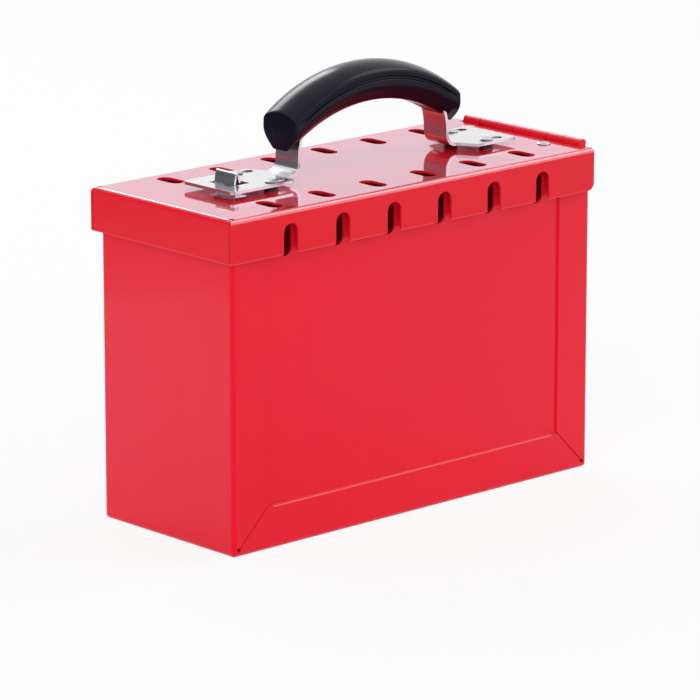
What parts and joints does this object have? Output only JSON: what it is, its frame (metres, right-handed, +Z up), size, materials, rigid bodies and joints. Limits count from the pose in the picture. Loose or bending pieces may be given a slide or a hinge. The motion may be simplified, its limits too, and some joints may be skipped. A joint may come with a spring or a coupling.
{
  "type": "group lockout box",
  "caption": "Steel group lockout box: hinged lid and side walls slotted for padlocks, sliding carry handle with a black grip, and a latch keeper.",
  "frame": {"origin": "centre of the bottom face that the box rests on", "axes": "+Z up, +X towards the lid's hinge, -Y is the front long side"},
  "size_m": [0.2419, 0.1006, 0.216],
  "materials": {
    "red_paint": "glossy red powder coat",
    "stainless": "bright rolled stainless steel",
    "rivet_steel": "plain zinc-plated steel",
    "black_grip": "satin black moulded plastic"
  },
  "bodies": {
    "body": {"body_wrap": "red_paint", "front_panel": "red_paint", "back_panel": "red_paint", "latch_keeper": "stainless", "keeper_rivets": "rivet_steel", "body_hinge_leaf": "red_paint", "body_hinge_rivets": "rivet_steel", "hinge_pin": "rivet_steel"},
    "lid": {"lid": "red_paint", "lid_hinge_leaf": "red_paint", "lid_hinge_rivets": "rivet_steel", "guide_posts": "stainless"},
    "handle": {"handle_strap": "stainless", "handle_grip": "black_grip"}
  },
  "joints": [
    {"name": "lid_hinge", "type": "hinge", "parent": "body", "child": "lid", "pos_m": [0.1181, 0, 0.1636], "axis": [0, 1, 0], "range_deg": [0, 215]},
    {"name": "handle_slide", "type": "slide", "parent": "lid", "child": "handle", "axis": [-1, 0, 0], "range_m": [0, 0.008]}
  ]
}
